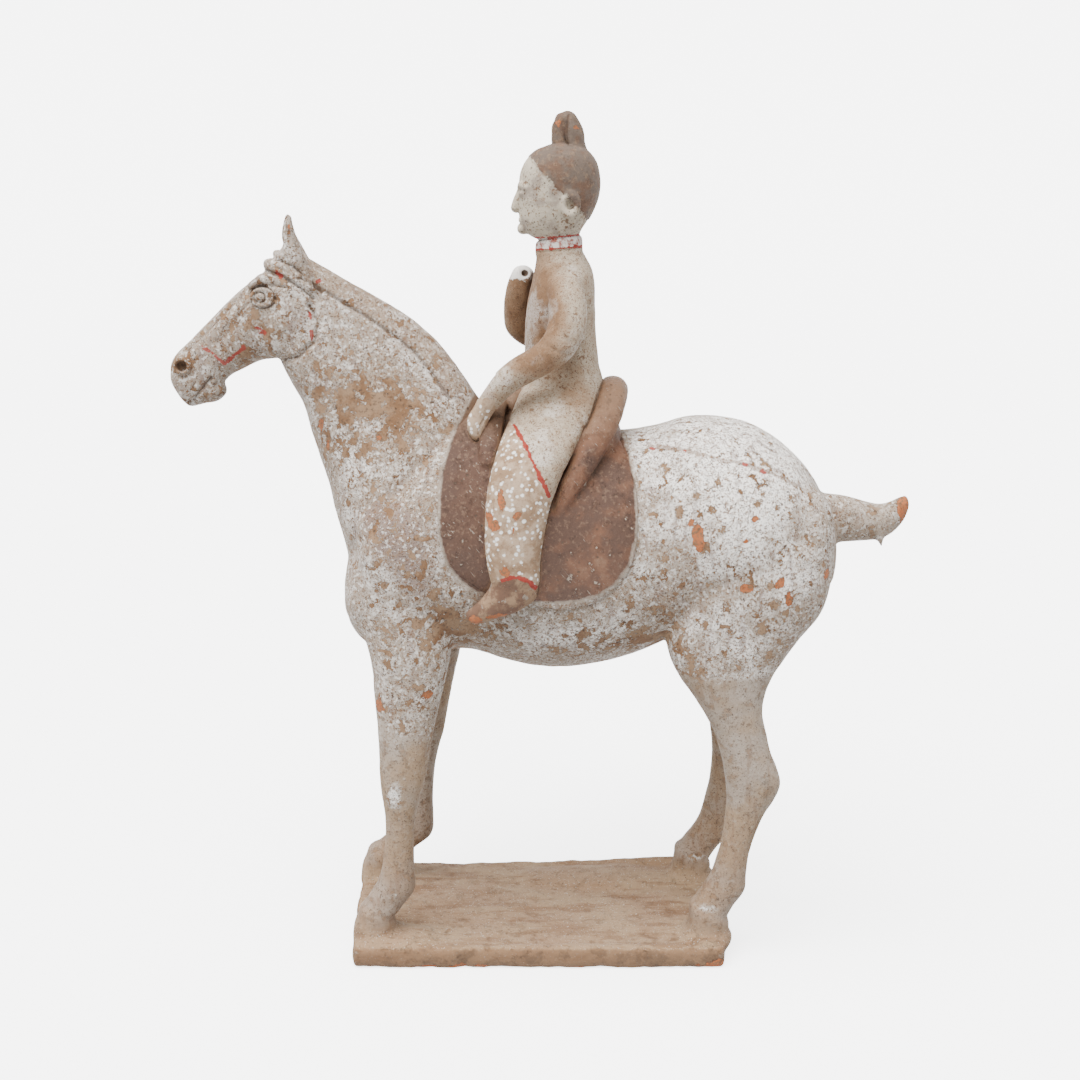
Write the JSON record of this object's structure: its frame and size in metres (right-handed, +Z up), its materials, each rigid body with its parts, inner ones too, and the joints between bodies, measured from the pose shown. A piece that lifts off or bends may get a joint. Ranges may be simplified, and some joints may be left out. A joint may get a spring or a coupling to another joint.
{
  "type": "earthenware horse and rider figure",
  "caption": "Painted earthenware figure of a standing horse with a seated rider whose right forearm is raised, fused to a slab plinth; slip worn to the clay.",
  "frame": {"origin": "centre of the bounding box at the plinth's underside, which stands on a shelf or table", "axes": "+Z up, the horse faces -X, its left side faces -Y and its right side faces +Y"},
  "size_m": [0.3518, 0.1182, 0.3998],
  "materials": {
    "slipped_earthenware": "matt low-fired earthenware under worn white slip, with cold brown, grey and red pigment"
  },
  "bodies": {
    "root": {"horse_and_rider": "slipped_earthenware"}
  },
  "joints": []
}
